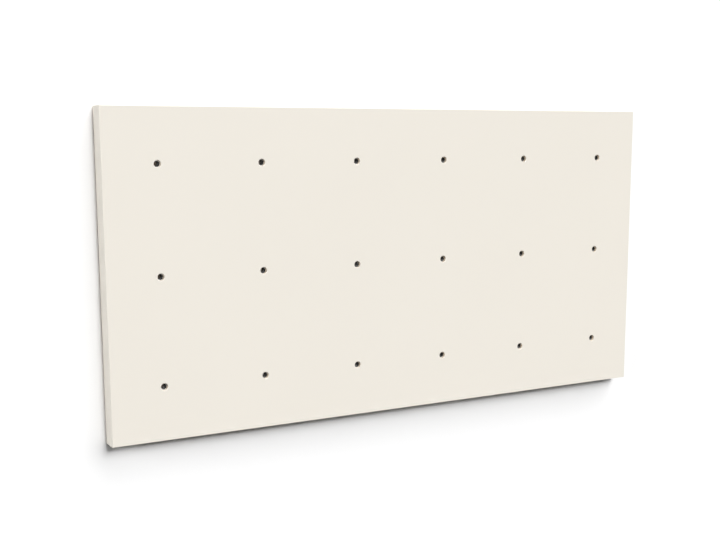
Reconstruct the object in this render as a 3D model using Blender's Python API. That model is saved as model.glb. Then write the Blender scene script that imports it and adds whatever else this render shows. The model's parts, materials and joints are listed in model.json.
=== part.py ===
"""A climbing wall panel: a cream faced plywood board with a 3 by 6 grid of threaded
inserts for hold bolts, on a frame that hangs on two hook rails.

Metres, +Z up, +X to the right as one faces the panel. The wall is the plane y = 0 and the
panel's front faces -Y. The origin is the middle of the upper wall hook's back face, which
is the line that is marked on the wall first.
"""

from math import pi

import bmesh
import bpy
from mathutils import Matrix

# The board and its grid of holes
PANEL_WIDTH = 1.200
PANEL_HEIGHT = 0.600
PANEL_DEPTH = 0.036
WALL_GAP = 0.004
ROWS = 3
COLUMNS = 6
HOLE_PITCH = 0.200

# The layers, from the front to the back
FACE_SHEET = 0.0008
BOARD_WITH_SHEET = 0.018
EDGE_BAND = 0.001
STILE_WIDTH = 0.060
MID_STILE_X = 0.200

# M10 threaded inserts, pressed in from behind
HOLE_RADIUS = 0.0063
INSERT_DEPTH = 0.005
BARREL_RADIUS = 0.006
BORE_RADIUS = 0.00425
BORE_MOUTH = 0.005
FLANGE_RADIUS = 0.0125
FLANGE = 0.0016
PRONGS = 4
PRONG_RADIUS = 0.0092
PRONG_LENGTH = 0.007
PRONG_THICKNESS = 0.0014
PRONG_ROOT = 0.004
PRONG_TIP = 0.0014
NOTCH_CLEARANCE = 0.0001

# Interlocking hook rails: plates of one thickness in two layers with play between them
HOOK_SPACING = 0.518
UPPER_HOOK_RISE = 0.237
HOOK_LENGTH = 1.100
HOOK_PLATE = 0.003
HOOK_PLAY = 0.0005
HOOK_OVERLAP = 0.012
WALL_PLATE_HEIGHT = 0.024
PANEL_PLATE_HEIGHT = 0.022
LIP_CLEARANCE = 0.001
LIFT_TRAVEL = 0.012
REBATE_MARGIN = 0.0015

# Wood screws, and the holes for the wall's own screws
FRAME_SCREW_LENGTH = 0.030
FRAME_SCREW_X = (-0.560, -0.280, 0.0, 0.280, 0.560)
FRAME_SCREW_FROM_EDGE = 0.0065
HOOK_SCREW_LENGTH = 0.014
HOOK_SCREW_X = (-0.500, -0.250, 0.0, 0.250, 0.500)
SCREW_RADIUS = 0.002
SCREW_HEAD_RADIUS = 0.004
SCREW_HEAD_DEPTH = 0.0022
SCREW_POINT = 0.005
SCREW_SINK = 0.0002
SOCKET_RADIUS = 0.0016
SOCKET_DEPTH = 0.0014
WALL_HOLE_X = (-0.500, -0.300, -0.100, 0.100, 0.300, 0.500)
WALL_HOLE_RADIUS = 0.00325
WALL_HOLE_MOUTH = 0.0055

# Pieces that touch stay this far apart, and a cutter runs this far past what it cuts
GAP = 0.0003
OVERCUT = 0.001
ROUND_SEGMENTS = 16
SCREW_SEGMENTS = 10
MERGE = 1e-6

# Depths along Y: the wall is at 0 and the front is the lowest
FRONT = -(PANEL_DEPTH + WALL_GAP)
SHEET_BACK = FRONT + FACE_SHEET
BOARD_FRONT = SHEET_BACK + GAP
BOARD_BACK = FRONT + BOARD_WITH_SHEET
FRAME_FRONT = BOARD_BACK + GAP
FRAME_BACK = -WALL_GAP
PANEL_PLATE_BACK = -(HOOK_PLATE + HOOK_PLAY)
PANEL_PLATE_FRONT = PANEL_PLATE_BACK - HOOK_PLATE
REBATE_FLOOR = PANEL_PLATE_FRONT - GAP

# Half sizes of the board and the frame inside the edge bands
HALF_WIDTH = PANEL_WIDTH / 2
HALF_HEIGHT = PANEL_HEIGHT / 2
CORE_HALF_WIDTH = HALF_WIDTH - EDGE_BAND - GAP
CORE_HALF_HEIGHT = HALF_HEIGHT - EDGE_BAND - GAP

# Heights: the origin is level with the middle of the upper wall hook's plate. Each frame rail's
# middle line is as far from the next as the hooks are, and a hook's shelf is a little below it.
PANEL_MIDDLE = -UPPER_HOOK_RISE
TOP_RAIL_LINE = PANEL_MIDDLE + HOOK_SPACING / 2
BOTTOM_RAIL_LINE = PANEL_MIDDLE - HOOK_SPACING / 2
RAIL_WIDTH = 2 * (CORE_HALF_HEIGHT - HOOK_SPACING / 2)
SHELF_DROP = HOOK_SPACING / 2 - UPPER_HOOK_RISE - WALL_PLATE_HEIGHT / 2

# The rebate leaves room for the panel's plate, and for the wall's lip as the panel is lifted
REBATE_ABOVE_SHELF = HOOK_OVERLAP + GAP + PANEL_PLATE_HEIGHT + REBATE_MARGIN
REBATE_BELOW_SHELF = HOOK_PLATE + LIFT_TRAVEL + REBATE_MARGIN
HOOK_SCREW_ABOVE_STEP = (HOOK_PLATE + PANEL_PLATE_HEIGHT) / 2


def clear_scene():
    for thing in list(bpy.data.objects):
        bpy.data.objects.remove(thing, do_unlink=True)


def make_material(name, colour, roughness, metallic):
    material = bpy.data.materials.new(name)
    material.use_nodes = True
    shader = material.node_tree.nodes["Principled BSDF"]
    shader.inputs["Base Color"].default_value = (*colour, 1.0)
    shader.inputs["Roughness"].default_value = roughness
    shader.inputs["Metallic"].default_value = metallic
    return material


def make_object(name, shape, material=None):
    """Turn a bmesh into a named object, with round walls shaded smooth."""
    mesh = bpy.data.meshes.new(name)
    shape.to_mesh(mesh)
    shape.free()
    mesh.shade_smooth()
    mesh.set_sharp_from_angle(angle=pi / 6)
    if material:
        mesh.materials.append(material)
    thing = bpy.data.objects.new(name, mesh)
    bpy.context.scene.collection.objects.link(thing)
    return thing


def add_block(shape, low, high):
    corners = bmesh.ops.create_cube(shape, size=1.0)["verts"]
    size = [b - a for a, b in zip(low, high)]
    middle = [(a + b) / 2 for a, b in zip(low, high)]
    bmesh.ops.scale(shape, verts=corners, vec=size)
    bmesh.ops.translate(shape, verts=corners, vec=middle)
    return corners


def add_bar(shape, section, low_x, high_x):
    """Extrude a closed (y, z) outline along X."""
    start = [shape.verts.new((low_x, y, z)) for y, z in section]
    face = shape.faces.new(start)
    grown = bmesh.ops.extrude_face_region(shape, geom=[face])
    moved = [item for item in grown["geom"] if isinstance(item, bmesh.types.BMVert)]
    bmesh.ops.translate(shape, verts=moved, vec=(high_x - low_x, 0, 0))
    bmesh.ops.recalc_face_normals(shape, faces=shape.faces)


def add_turned(shape, profile, x, z, segments, ring=False):
    """Spin a (radius, y) outline about the line through (x, z) along Y.

    An outline that starts and ends at radius 0 makes a solid; a ring outline is closed.
    """
    points = [shape.verts.new((x + radius, y, z)) for radius, y in profile]
    pairs = list(zip(points, points[1:]))
    if ring:
        pairs.append((points[-1], points[0]))
    lines = [shape.edges.new(pair) for pair in pairs]
    bmesh.ops.spin(shape, geom=points + lines, cent=(x, 0, z), axis=(0, 1, 0), angle=2 * pi,
                   steps=segments, use_merge=True)
    bmesh.ops.remove_doubles(shape, verts=shape.verts, dist=MERGE)
    bmesh.ops.recalc_face_normals(shape, faces=shape.faces)


def make_cutter(name, shape):
    cutter = make_object(name, shape)
    cutter.hide_render = True
    cutter.display_type = "WIRE"
    return cutter


def cut(target, *cutters):
    for cutter in cutters:
        modifier = target.modifiers.new(cutter.name, "BOOLEAN")
        modifier.operation = "DIFFERENCE"
        modifier.object = cutter
    return target


def hole_places():
    """Row and column numbers with each hole's x and z, rows from the top, columns from the left."""
    for row in range(ROWS):
        for column in range(COLUMNS):
            x = (column - (COLUMNS - 1) / 2) * HOLE_PITCH
            z = PANEL_MIDDLE + ((ROWS - 1) / 2 - row) * HOLE_PITCH
            yield row + 1, column + 1, x, z


def frame_screw_places():
    """In the rails' inner shoulders, clear of the rebates, and halfway up each stile."""
    inner_edge = CORE_HALF_HEIGHT - RAIL_WIDTH + FRAME_SCREW_FROM_EDGE
    side = CORE_HALF_WIDTH - STILE_WIDTH / 2
    rails = [(x, PANEL_MIDDLE + z) for z in (inner_edge, -inner_edge) for x in FRAME_SCREW_X]
    stiles = [(x, PANEL_MIDDLE) for x in (-side, -MID_STILE_X, MID_STILE_X, side)]
    return rails + stiles


def shelf_height(rail_line):
    return rail_line - SHELF_DROP


def step_height(rail_line):
    """The underside of the panel hook's step, which rests on the wall hook's lip."""
    return shelf_height(rail_line) + HOOK_OVERLAP + GAP


def hook_screw_places():
    lines = [step_height(line) + HOOK_SCREW_ABOVE_STEP for line in (TOP_RAIL_LINE, BOTTOM_RAIL_LINE)]
    return [(x, z) for z in lines for x in HOOK_SCREW_X]


def screw_profile(head_y, length):
    """A countersunk wood screw, driven towards -Y, with a round drive socket in its head."""
    return [
        (0, head_y - length),
        (SCREW_RADIUS, head_y - length + SCREW_POINT),
        (SCREW_RADIUS, head_y - SCREW_HEAD_DEPTH),
        (SCREW_HEAD_RADIUS, head_y),
        (SOCKET_RADIUS, head_y),
        (SOCKET_RADIUS, head_y - SOCKET_DEPTH),
        (0, head_y - SOCKET_DEPTH),
    ]


def screw_hole_profile(head_y, length):
    """The same screw grown by the gap, and run out past its head."""
    return [
        (0, head_y - length - 2 * GAP),
        (SCREW_RADIUS + GAP, head_y - length + SCREW_POINT),
        (SCREW_RADIUS + GAP, head_y - SCREW_HEAD_DEPTH),
        (SCREW_HEAD_RADIUS + GAP, head_y),
        (SCREW_HEAD_RADIUS + GAP, head_y + OVERCUT),
        (0, head_y + OVERCUT),
    ]


def add_prong(shape, x, z, turn, grow, root_y, tip_y):
    """One blade of an insert: tangential width tapers from the flange to the tip."""
    made = bmesh.ops.create_cube(shape, size=1.0)["verts"]
    for vert in made:
        at_tip = vert.co.y < 0
        width = (PRONG_TIP if at_tip else PRONG_ROOT) + 2 * grow
        vert.co.x = PRONG_RADIUS + vert.co.x * (PRONG_THICKNESS + 2 * grow)
        vert.co.z = vert.co.z * width
        vert.co.y = tip_y if at_tip else root_y
    for vert in made:
        vert.co.rotate(turn)
        vert.co.x += x
        vert.co.z += z


def prong_turns():
    """A quarter turn apart, and an eighth off the axes."""
    return [Matrix.Rotation((step + 0.5) * 2 * pi / PRONGS, 3, "Y") for step in range(PRONGS)]


def hold_hole_cutter():
    """All holes: a straight bore, and the 45 degree mouth that takes up the face sheet."""
    shape = bmesh.new()
    mouth = HOLE_RADIUS + FACE_SHEET
    for _, _, x, z in hole_places():
        profile = [
            (0, BOARD_BACK + OVERCUT),
            (HOLE_RADIUS, BOARD_BACK + OVERCUT),
            (HOLE_RADIUS, SHEET_BACK),
            (mouth + OVERCUT, FRONT - OVERCUT),
            (0, FRONT - OVERCUT),
        ]
        add_turned(shape, profile, x, z, ROUND_SEGMENTS)
    return make_cutter("hold_hole_cutter", shape)


def prong_slot_cutter():
    shape = bmesh.new()
    for _, _, x, z in hole_places():
        for turn in prong_turns():
            add_prong(shape, x, z, turn, GAP, BOARD_BACK + OVERCUT, FRAME_FRONT - PRONG_LENGTH - GAP)
    return make_cutter("prong_slot_cutter", shape)


def notch_cutter():
    """Behind each prong, the open notch in the flange's rim that it was bent down out of."""
    shape = bmesh.new()
    inner = PRONG_RADIUS + PRONG_THICKNESS / 2 + NOTCH_CLEARANCE
    half_width = PRONG_ROOT / 2 + NOTCH_CLEARANCE
    for turn in prong_turns():
        corners = add_block(shape, (inner, FRAME_FRONT - OVERCUT, -half_width),
                            (FLANGE_RADIUS + OVERCUT, FRAME_FRONT + FLANGE + OVERCUT, half_width))
        bmesh.ops.rotate(shape, verts=corners, cent=(0, 0, 0), matrix=turn)
    return make_cutter("notch_cutter", shape)


def screw_cutter(name, places, head_y, length):
    shape = bmesh.new()
    for x, z in places:
        add_turned(shape, screw_hole_profile(head_y, length), x, z, SCREW_SEGMENTS)
    return make_cutter(name, shape)


def wall_hole_cutter():
    """Countersunk holes in the wall hooks, for screws that suit the wall."""
    shape = bmesh.new()
    sink = WALL_HOLE_MOUTH - WALL_HOLE_RADIUS
    for line in (TOP_RAIL_LINE, BOTTOM_RAIL_LINE):
        z = shelf_height(line) - WALL_PLATE_HEIGHT / 2
        for x in WALL_HOLE_X:
            profile = [
                (0, OVERCUT),
                (WALL_HOLE_RADIUS, OVERCUT),
                (WALL_HOLE_RADIUS, sink - HOOK_PLATE),
                (WALL_HOLE_MOUTH, -HOOK_PLATE),
                (WALL_HOLE_MOUTH, -HOOK_PLATE - OVERCUT / 2),
                (0, -HOOK_PLATE - OVERCUT / 2),
            ]
            add_turned(shape, profile, x, z, ROUND_SEGMENTS)
    return make_cutter("wall_hole_cutter", shape)


def make_face_sheet(material, hold_holes):
    shape = bmesh.new()
    add_block(shape, (-HALF_WIDTH, FRONT, PANEL_MIDDLE - HALF_HEIGHT),
              (HALF_WIDTH, SHEET_BACK, PANEL_MIDDLE + HALF_HEIGHT))
    return cut(make_object("face_laminate", shape, material), hold_holes)


def make_board(material, *cutters):
    shape = bmesh.new()
    add_block(shape, (-CORE_HALF_WIDTH, BOARD_FRONT, PANEL_MIDDLE - CORE_HALF_HEIGHT),
              (CORE_HALF_WIDTH, BOARD_BACK, PANEL_MIDDLE + CORE_HALF_HEIGHT))
    return cut(make_object("face_board", shape, material), *cutters)


def make_edge_bands(material):
    """Top and bottom run right across; the sides stand between them."""
    inner = HALF_HEIGHT - EDGE_BAND
    for name, sign in (("top_edge_band", 1), ("bottom_edge_band", -1)):
        shape = bmesh.new()
        heights = sorted((PANEL_MIDDLE + sign * inner, PANEL_MIDDLE + sign * HALF_HEIGHT))
        add_block(shape, (-HALF_WIDTH, BOARD_FRONT, heights[0]), (HALF_WIDTH, FRAME_BACK, heights[1]))
        make_object(name, shape, material)
    side = HALF_WIDTH - EDGE_BAND
    for name, sign in (("left_edge_band", -1), ("right_edge_band", 1)):
        shape = bmesh.new()
        places = sorted((sign * side, sign * HALF_WIDTH))
        add_block(shape, (places[0], BOARD_FRONT, PANEL_MIDDLE - inner + GAP),
                  (places[1], FRAME_BACK, PANEL_MIDDLE + inner - GAP))
        make_object(name, shape, material)


def rail_section(rail_line):
    """A frame rail with the long rebate that lets the hooks sit inside the panel's depth."""
    top = rail_line + RAIL_WIDTH / 2
    bottom = rail_line - RAIL_WIDTH / 2
    rebate_top = shelf_height(rail_line) + REBATE_ABOVE_SHELF
    rebate_bottom = shelf_height(rail_line) - REBATE_BELOW_SHELF
    return [
        (FRAME_FRONT, bottom),
        (FRAME_BACK, bottom),
        (FRAME_BACK, rebate_bottom),
        (REBATE_FLOOR, rebate_bottom),
        (REBATE_FLOOR, rebate_top),
        (FRAME_BACK, rebate_top),
        (FRAME_BACK, top),
        (FRAME_FRONT, top),
    ]


def make_frame(material, frame_screw_holes, hook_screw_holes):
    for name, line in (("top_rail", TOP_RAIL_LINE), ("bottom_rail", BOTTOM_RAIL_LINE)):
        shape = bmesh.new()
        add_bar(shape, rail_section(line), -CORE_HALF_WIDTH, CORE_HALF_WIDTH)
        cut(make_object(name, shape, material), frame_screw_holes, hook_screw_holes)
    half = CORE_HALF_HEIGHT - RAIL_WIDTH - GAP
    side = CORE_HALF_WIDTH - STILE_WIDTH / 2
    stiles = (("left_stile", -side), ("mid_stile_left", -MID_STILE_X),
              ("mid_stile_right", MID_STILE_X), ("right_stile", side))
    for name, x in stiles:
        shape = bmesh.new()
        add_block(shape, (x - STILE_WIDTH / 2, FRAME_FRONT, PANEL_MIDDLE - half),
                  (x + STILE_WIDTH / 2, FRAME_BACK, PANEL_MIDDLE + half))
        cut(make_object(name, shape, material), frame_screw_holes)


def insert_mesh(material):
    """A threaded insert at the frame's origin: barrel, notched flange and prongs in one piece."""
    barrel_end = FRONT + INSERT_DEPTH
    shape = bmesh.new()
    profile = [
        (BORE_RADIUS, FRAME_FRONT + FLANGE),
        (BORE_RADIUS, barrel_end + BORE_MOUTH - BORE_RADIUS),
        (BORE_MOUTH, barrel_end),
        (BARREL_RADIUS, barrel_end),
        (BARREL_RADIUS, FRAME_FRONT),
        (FLANGE_RADIUS, FRAME_FRONT),
        (FLANGE_RADIUS, FRAME_FRONT + FLANGE),
    ]
    add_turned(shape, profile, 0, 0, ROUND_SEGMENTS, ring=True)
    notches = notch_cutter()
    body = cut(make_object("insert_body", shape, material), notches)
    blades = bmesh.new()
    for turn in prong_turns():
        add_prong(blades, 0, 0, turn, 0, FRAME_FRONT + FLANGE / 2, FRAME_FRONT - PRONG_LENGTH)
    prongs = make_cutter("insert_prongs", blades)
    joiner = body.modifiers.new("prongs", "BOOLEAN")
    joiner.operation = "UNION"
    joiner.object = prongs
    evaluated = body.evaluated_get(bpy.context.evaluated_depsgraph_get())
    mesh = bpy.data.meshes.new_from_object(evaluated)
    for helper in (body, notches, prongs):
        bpy.data.objects.remove(helper, do_unlink=True)
    return mesh


def make_inserts(material):
    mesh = insert_mesh(material)
    for row, column, x, z in hole_places():
        insert = bpy.data.objects.new(f"t_nut_r{row}_c{column}", mesh)
        insert.location = (x, 0, z)
        bpy.context.scene.collection.objects.link(insert)


def make_screws(prefix, places, head_y, length, material):
    for number, (x, z) in enumerate(places, start=1):
        shape = bmesh.new()
        add_turned(shape, screw_profile(head_y, length), x, z, SCREW_SEGMENTS)
        make_object(f"{prefix}_{number:02d}", shape, material)


def wall_hook_section(rail_line):
    """A plate on the wall, a step forward and a lip that stands up in front of it."""
    shelf = shelf_height(rail_line)
    return [
        (0, shelf - WALL_PLATE_HEIGHT),
        (-HOOK_PLATE, shelf - WALL_PLATE_HEIGHT),
        (-HOOK_PLATE, shelf - HOOK_PLATE),
        (PANEL_PLATE_FRONT, shelf - HOOK_PLATE),
        (PANEL_PLATE_FRONT, shelf + HOOK_OVERLAP),
        (PANEL_PLATE_BACK, shelf + HOOK_OVERLAP),
        (PANEL_PLATE_BACK, shelf),
        (0, shelf),
    ]


def panel_hook_section(rail_line):
    """A plate on the frame, a step back and a lip that hangs down behind the wall hook's."""
    step = step_height(rail_line)
    lip_foot = shelf_height(rail_line) + GAP + LIP_CLEARANCE
    lip_back = -HOOK_PLAY / 2
    lip_front = lip_back - HOOK_PLATE
    return [
        (lip_back, lip_foot),
        (lip_front, lip_foot),
        (lip_front, step),
        (PANEL_PLATE_FRONT, step),
        (PANEL_PLATE_FRONT, step + PANEL_PLATE_HEIGHT),
        (PANEL_PLATE_BACK, step + PANEL_PLATE_HEIGHT),
        (PANEL_PLATE_BACK, step + HOOK_PLATE),
        (lip_back, step + HOOK_PLATE),
    ]


def make_hooks(material, wall_holes, hook_screw_holes):
    half = HOOK_LENGTH / 2
    for level, line in (("upper", TOP_RAIL_LINE), ("lower", BOTTOM_RAIL_LINE)):
        for name, section, holes in ((f"{level}_wall_hook", wall_hook_section(line), wall_holes),
                                     (f"{level}_panel_hook", panel_hook_section(line), hook_screw_holes)):
            shape = bmesh.new()
            add_bar(shape, section, -half, half)
            cut(make_object(name, shape, material), holes)


def build():
    clear_scene()
    cream = make_material("cream_laminate", (0.871, 0.831, 0.753), 0.45, 0.0)
    cream_edge = make_material("cream_edging", (0.871, 0.831, 0.753), 0.5, 0.0)
    birch = make_material("birch_plywood", (0.62, 0.43, 0.25), 0.65, 0.0)
    poplar = make_material("frame_plywood", (0.58, 0.40, 0.23), 0.7, 0.0)
    zinc = make_material("zinc_plated_steel", (0.55, 0.56, 0.57), 0.35, 1.0)
    screw_steel = make_material("screw_steel", (0.62, 0.52, 0.30), 0.3, 1.0)
    aluminium = make_material("hook_aluminium", (0.72, 0.73, 0.74), 0.4, 1.0)

    frame_head = FRAME_BACK - SCREW_SINK
    hook_head = PANEL_PLATE_BACK - SCREW_SINK
    hold_holes = hold_hole_cutter()
    prong_slots = prong_slot_cutter()
    frame_holes = screw_cutter("frame_screw_cutter", frame_screw_places(), frame_head, FRAME_SCREW_LENGTH)
    hook_holes = screw_cutter("hook_screw_cutter", hook_screw_places(), hook_head, HOOK_SCREW_LENGTH)
    wall_holes = wall_hole_cutter()

    make_face_sheet(cream, hold_holes)
    make_board(birch, hold_holes, prong_slots, frame_holes)
    make_edge_bands(cream_edge)
    make_frame(poplar, frame_holes, hook_holes)
    make_inserts(zinc)
    make_screws("frame_screw", frame_screw_places(), frame_head, FRAME_SCREW_LENGTH, screw_steel)
    make_screws("hook_screw", hook_screw_places(), hook_head, HOOK_SCREW_LENGTH, screw_steel)
    make_hooks(aluminium, wall_holes, hook_holes)


build()
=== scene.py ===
# %% [markdown]
# A climbing wall panel, step by step. It is a cream faced plywood board with a square grid of
# threaded inserts, which take the bolts of climbing holds. Behind the board is a plywood frame, and
# the whole panel hangs on two pairs of aluminium hook rails that lock together. The sizes come from
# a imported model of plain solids, which is the frame of this scene. Each visible piece is modelled
# again here in finer detail, in the place of its plain solid, and rides on the same moving body.

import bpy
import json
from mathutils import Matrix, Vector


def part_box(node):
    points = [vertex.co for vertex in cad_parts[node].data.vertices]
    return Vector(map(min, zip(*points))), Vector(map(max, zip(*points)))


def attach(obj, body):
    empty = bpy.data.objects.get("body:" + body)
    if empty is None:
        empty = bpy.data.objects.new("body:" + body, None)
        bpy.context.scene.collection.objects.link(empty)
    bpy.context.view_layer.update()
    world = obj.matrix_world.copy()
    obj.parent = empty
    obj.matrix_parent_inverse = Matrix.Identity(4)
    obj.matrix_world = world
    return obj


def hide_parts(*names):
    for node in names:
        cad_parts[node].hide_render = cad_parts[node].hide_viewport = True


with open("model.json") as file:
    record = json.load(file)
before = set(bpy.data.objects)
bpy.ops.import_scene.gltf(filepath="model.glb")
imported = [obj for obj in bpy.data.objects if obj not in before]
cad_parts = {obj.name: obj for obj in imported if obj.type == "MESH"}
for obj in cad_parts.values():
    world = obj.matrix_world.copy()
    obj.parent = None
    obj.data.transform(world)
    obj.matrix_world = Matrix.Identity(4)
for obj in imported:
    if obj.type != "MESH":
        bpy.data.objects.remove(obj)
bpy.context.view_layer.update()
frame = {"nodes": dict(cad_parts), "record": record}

# %% [markdown]
# The wall is the plane y = 0, the panel's front faces -Y, and heights are measured from the middle
# of the upper wall hook. Everything is in metres, so a named millimetre keeps the small sizes of
# plywood, screws and threads readable. The record says which body and which finish each solid has.

# %% Values that every step uses
from math import cos, pi, radians, sin

import bmesh
import bpy
from mathutils import Matrix, Vector

MM = 0.001
SLOT_OF = {part["node"]: part["material_slot"] for part in frame["record"]["subparts"]}
BODY_OF = {node: body for body, nodes in frame["record"]["behaviour"]["bodies"].items()
           for node in nodes}


def outline_of(node):
    """A plain solid's lowest and highest corners, by name."""
    low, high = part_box(node)
    return {"left": low.x, "right": high.x, "front": low.y, "back": high.y,
            "bottom": low.z, "top": high.z}


def axis_of(node):
    """Where the line along Y through the middle of a turned solid meets the wall."""
    low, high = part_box(node)
    return Vector(((low.x + high.x) / 2, 0, (low.z + high.z) / 2))


T_NUTS = sorted(node for node in frame["nodes"] if node.startswith("t_nut"))
print(len(T_NUTS), "inserts, the first on the axis", [round(v, 3) for v in axis_of(T_NUTS[0])])

# %% [markdown]
# The camera comes first, because every later choice of detail is judged through it. It stands to
# the left of the panel, a little above its middle, and looks slightly down and to the right. A long
# lens keeps the upright edges nearly parallel. The shift slides the picture in its frame without
# turning the camera, which would make the far end of the panel grow. Whatever is added here is
# added in the same way: first everything is deselected, then an operator adds one object, which
# is the active one, and gets its name.

# %% Camera
CAMERA_PLACE = (-1.1813, -1.9927, 0.0157)
CAMERA_TILT = 80.40
CAMERA_TURN = -30.29
CAMERA_LENS = 57.33
CAMERA_SHIFT = (-0.0328, 0.0797)


def add(name, operator, **settings):
    """Deselect everything, add one object with an operator, and name it."""
    bpy.ops.object.select_all(action="DESELECT")
    operator(**settings)
    bpy.context.object.name = name
    return bpy.context.object


camera = add("camera", bpy.ops.object.camera_add, location=CAMERA_PLACE,
             rotation=(radians(CAMERA_TILT), 0, radians(CAMERA_TURN)))
camera.data.lens = CAMERA_LENS
camera.data.shift_x, camera.data.shift_y = CAMERA_SHIFT
bpy.context.scene.camera = camera
bpy.context.scene.view_settings.view_transform = "Standard"
print("camera", CAMERA_LENS, "mm, turned", CAMERA_TURN, "degrees")

# %% [markdown]
# A material is a graph of shader nodes. Building it in code takes many similar lines, so helpers
# come first. One places a node and feeds its inputs from plain values or from other nodes, and the
# rest do so for the kinds of node that are used most. A socket knows the tree that it is in, so
# they aren't told which tree they work on.

# %% Helpers for shader nodes
def is_socket(source):
    return isinstance(source, bpy.types.NodeSocket)


def feed(socket, source):
    """Link a node's output to an input, or set a plain value on it."""
    if is_socket(source):
        socket.id_data.links.new(source, socket)
    else:
        socket.default_value = source


def put(tree, kind, feeds=None, **settings):
    """Place a node, set its properties and feed its inputs."""
    node = tree.nodes.new("ShaderNode" + kind)
    for name, value in settings.items():
        setattr(node, name, value)
    for name, source in (feeds or {}).items():
        feed(node.inputs[name], source)
    return node


def maths(operation, *sources):
    """A Math node. At least one of its sources is a socket."""
    tree = next(source.id_data for source in sources if is_socket(source))
    return put(tree, "Math", dict(enumerate(sources)), operation=operation).outputs[0]


def blend(share, first, second):
    """Mix two colours, with this share of the second."""
    feeds = {"Factor": share, "A": first, "B": second}
    return put(share.id_data, "Mix", feeds, data_type="RGBA").outputs["Result"]


def noise(place, scale, detail=2.0, roughness=0.5):
    feeds = {"Vector": place, "Scale": scale, "Detail": detail, "Roughness": roughness}
    return put(place.id_data, "TexNoise", feeds).outputs["Fac"]


def remap(value, low, high, to_low=0.0, to_high=1.0):
    feeds = {"Value": value, "From Min": low, "From Max": high, "To Min": to_low, "To Max": to_high}
    return put(value.id_data, "MapRange", feeds).outputs["Result"]


def split(vector):
    return put(vector.id_data, "SeparateXYZ", {"Vector": vector}).outputs


def new_material(name, values):
    """A material with plain values on its shader's own sockets."""
    material = bpy.data.materials.new(name)
    material.use_nodes = True
    for title, value in values.items():
        feed(material.node_tree.nodes["Principled BSDF"].inputs[title], value)
    return material


print("materials already loaded:", len(bpy.data.materials))

# %% [markdown]
# The panel hangs on a plain white wall over a plain pale floor, which are only planes. The wall is
# painted on one side: where its back faces the viewer it is clear, so that the frame and the hooks
# can be looked at from behind. The floor shows in pictures, but sends no light back up, which keeps
# the soft shadow under the panel as deep as it is high on a wall.

# %% Wall and floor
WALL_WHITE = (0.90, 0.90, 0.90, 1.0)
FLOOR_PALE = (0.50, 0.495, 0.49, 1.0)
MATT = {"Roughness": 1.0, "Specular IOR Level": 0.0}
WALL_SIZE = 9.0
FLOOR_SIZE = 14.0
FLOOR_HEIGHT = -1.35
BEHIND_HOOKS = 0.2 * MM


def add_plane(name, size, place, tilt, paint):
    plane = add(name, bpy.ops.mesh.primitive_plane_add, size=size, location=place,
                rotation=(tilt, 0, 0))
    plane.data.materials.append(paint)
    return plane


wall_paint = new_material("wall_paint", {"Base Color": WALL_WHITE, **MATT})
tree = wall_paint.node_tree
one_sided = put(tree, "MixShader", {
    "Fac": put(tree, "NewGeometry").outputs["Backfacing"],
    1: tree.nodes["Principled BSDF"].outputs["BSDF"],
    2: put(tree, "BsdfTransparent").outputs["BSDF"]})
feed(tree.nodes["Material Output"].inputs["Surface"], one_sided.outputs["Shader"])
add_plane("wall", WALL_SIZE, (0, BEHIND_HOOKS, FLOOR_HEIGHT + WALL_SIZE / 2), pi / 2, wall_paint)

floor_paint = new_material("floor_paint", {"Base Color": FLOOR_PALE, **MATT})
floor = add_plane("floor", FLOOR_SIZE, (0, 0, FLOOR_HEIGHT), 0, floor_paint)
floor.visible_diffuse = False
print("wall", WALL_SIZE, "m wide, floor at z =", FLOOR_HEIGHT)

# %% [markdown]
# The light is a soft studio. Sun lamps are used because their light is even over the whole face,
# and a sun's angle says how soft its shadow is. The two frontal lamps draw the short dark shadow
# under the lower edge, the right and the high lamp draw the long pale one below and to the left,
# and the left lamp lights the near end of the panel. A lamp's direction is its turn from the wall's
# normal, to the right, and its height above the horizon, in degrees.

# %% Front lamps
FRONT_LAMPS = {
    "front_lamp": {"turn": 3, "height": 29, "softness": 24, "strength": 1.29},
    "key_lamp": {"turn": 0, "height": 24, "softness": 10, "strength": 0.75},
    "right_lamp": {"turn": 40, "height": 40, "softness": 60, "strength": 2.25},
    "left_lamp": {"turn": -75, "height": 15, "softness": 30, "strength": 1.50},
    "high_lamp": {"turn": 20, "height": 70, "softness": 30, "strength": 0.72},
}
ROOM_SIDE, REAR_SIDE = -1, 1


def add_sun(name, side, turn, height, softness, strength):
    """A sun on the room's side of the wall or behind it, aimed from a turn and a height."""
    turn, height = radians(turn), radians(height)
    towards_lamp = Vector((sin(turn) * cos(height), side * cos(turn) * cos(height), sin(height)))
    lamp = add(name, bpy.ops.object.light_add, type="SUN",
               rotation=towards_lamp.to_track_quat("Z", "Y").to_euler())
    lamp.data.angle = radians(softness)
    lamp.data.energy = strength
    return lamp


for name, setting in FRONT_LAMPS.items():
    add_sun(name, ROOM_SIDE, **setting)
print("front lamps:", ", ".join(FRONT_LAMPS))

# %% [markdown]
# A bright surround would fill the soft shadows, so the world gives no light to matt surfaces. The
# eye and the metal still see a pale room, which is what makes zinc and aluminium look like metal. A
# Light Path node tells the two kinds of ray apart.

# %% Pale surround
SURROUND_PALE = (0.90, 0.90, 0.90, 1.0)
BLACK = (0.0, 0.0, 0.0, 1.0)

world = bpy.data.worlds.new("surround")
world.use_nodes = True
bpy.context.scene.world = world
ray = put(world.node_tree, "LightPath").outputs
seen = maths("MAXIMUM", ray["Is Camera Ray"], ray["Is Glossy Ray"])
feed(world.node_tree.nodes["Background"].inputs["Color"], blend(seen, BLACK, SURROUND_PALE))
print("surround with", len(world.node_tree.nodes), "nodes")

# %% [markdown]
# A node group holds an effect that several finishes share, and gives out only colours, masks and
# heights. Two helpers begin and end one. The kind of each socket follows from its value: a single
# number, the three of a vector or the four of a colour.

# %% Helpers for node groups
SOCKET_OF_SIZE = {3: "NodeSocketVector", 4: "NodeSocketColor"}


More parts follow.
